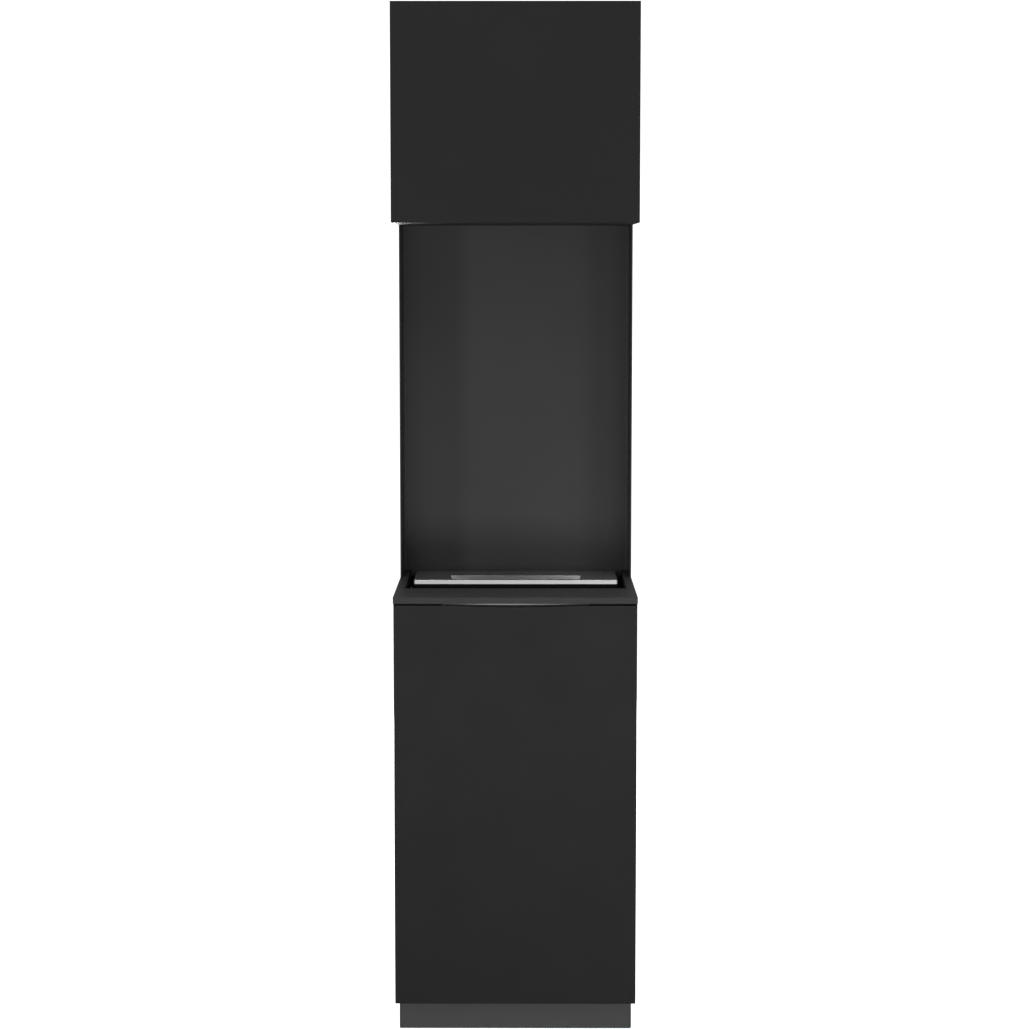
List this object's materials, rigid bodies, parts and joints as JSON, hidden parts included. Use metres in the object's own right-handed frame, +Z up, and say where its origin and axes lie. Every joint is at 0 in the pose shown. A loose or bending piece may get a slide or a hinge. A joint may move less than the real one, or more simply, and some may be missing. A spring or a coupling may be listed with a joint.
{
  "type": "pantry cabinet",
  "caption": "Tall slim matt charcoal pantry cabinet with a larder pull-out, a worktop well with a lidded steel box, an open niche and a cupboard above.",
  "frame": {"origin": "on the floor, under the middle of the cabinet's bounding box", "axes": "+Z up, the fronts face -Y, +X to the right seen from the front"},
  "size_m": [0.5, 0.47, 2.112],
  "materials": {
    "front_lacquer": "deep matt charcoal lacquer on the door and the pull-out front",
    "carcass_board": "matt charcoal melamine-faced board with matching edge band",
    "worktop_slab": "thin solid slab, honed charcoal with a fine grain",
    "steel_back": "folded sheet steel, satin anthracite powder coat",
    "stainless": "stainless steel, satin brushed along the width",
    "black_metal": "fine-textured black coated sheet",
    "frame_metal": "anthracite powder-coated tube and tray sheet",
    "zinc_hardware": "zinc-plated steel",
    "plinth_board": "slate grey plinth with rounded edges",
    "black_plastic": "moulded black plastic",
    "birch_dowel": "turned and fluted birch"
  },
  "bodies": {
    "carcass": {"upper_side_left": "carcass_board", "upper_side_right": "carcass_board", "upper_roof": "carcass_board", "upper_floor": "carcass_board", "upper_back": "carcass_board", "upper_lower_rail": "carcass_board", "upper_hanging_rail": "carcass_board", "upper_shelf": "carcass_board", "shelf_pins": "zinc_hardware", "upper_dowels": "birch_dowel", "upper_cams": "zinc_hardware", "pivot_brackets": "zinc_hardware", "pivot_pins": "zinc_hardware", "latch_housing": "black_plastic", "door_bumpers": "black_plastic", "niche_back": "steel_back", "niche_screws": "zinc_hardware", "worktop": "worktop_slab", "worktop_screws": "zinc_hardware", "well_liner": "black_metal", "well_rails": "black_metal", "well_screws": "zinc_hardware", "base_side_left": "carcass_board", "base_side_right": "carcass_board", "base_floor": "carcass_board", "base_back": "carcass_board", "base_front_rail": "carcass_board", "base_rear_rail": "carcass_board", "base_dowels": "birch_dowel", "base_cams": "zinc_hardware", "runner_outer_left": "zinc_hardware", "runner_outer_right": "zinc_hardware", "runner_screws": "zinc_hardware", "plinth_front": "plinth_board", "plinth_side_left": "plinth_board", "plinth_side_right": "plinth_board", "plinth_clips": "black_plastic", "foot_sockets": "black_plastic", "foot_stems": "black_plastic", "foot_pads": "black_plastic"},
    "door": {"upper_door": "front_lacquer", "pivot_door_plates": "zinc_hardware", "latch_strike": "zinc_hardware"},
    "latch_button": {"latch_plunger": "black_plastic"},
    "insert": {"insert_box": "black_metal", "lid_hinge_pins": "stainless"},
    "lid": {"insert_lid": "stainless"},
    "runner_stage_left": {"runner_middle_left": "zinc_hardware"},
    "runner_stage_right": {"runner_middle_right": "zinc_hardware"},
    "pullout": {"larder_front": "front_lacquer", "front_brackets": "zinc_hardware", "frame_side_rails": "frame_metal", "frame_uprights": "frame_metal", "frame_cross_bars": "frame_metal", "tray_lower": "frame_metal", "tray_middle": "frame_metal", "tray_upper": "frame_metal", "tray_screws": "zinc_hardware", "runner_inner_left": "zinc_hardware", "runner_inner_right": "zinc_hardware"}
  },
  "joints": [
    {"name": "door_swing", "type": "hinge", "parent": "carcass", "child": "door", "pos_m": [-0.245, -0.228, 1.893], "axis": [0, 0, -1], "range_deg": [0, 100]},
    {"name": "latch_press", "type": "slide", "parent": "carcass", "child": "latch_button", "axis": [0, 1, 0], "range_m": [0, 0.004], "stiffness_N_per_m": 300},
    {"name": "insert_slide", "type": "slide", "parent": "carcass", "child": "insert", "axis": [0, -1, 0], "range_m": [0, 0.12]},
    {"name": "lid_hinge", "type": "hinge", "parent": "insert", "child": "lid", "pos_m": [0, 0.204, 0.9105], "axis": [-1, 0, 0], "range_deg": [0, 85]},
    {"name": "pullout_slide", "type": "slide", "parent": "carcass", "child": "pullout", "axis": [0, -1, 0], "range_m": [0, 0.4]},
    {"name": "runner_left_slide", "type": "slide", "parent": "carcass", "child": "runner_stage_left", "axis": [0, -1, 0], "range_m": [0, 0.2]},
    {"name": "runner_right_slide", "type": "slide", "parent": "carcass", "child": "runner_stage_right", "axis": [0, -1, 0], "range_m": [0, 0.2]}
  ],
  "couplings": [
    {"joint": "runner_left_slide", "follows": "pullout_slide", "ratio": 0.5},
    {"joint": "runner_right_slide", "follows": "pullout_slide", "ratio": 0.5}
  ]
}
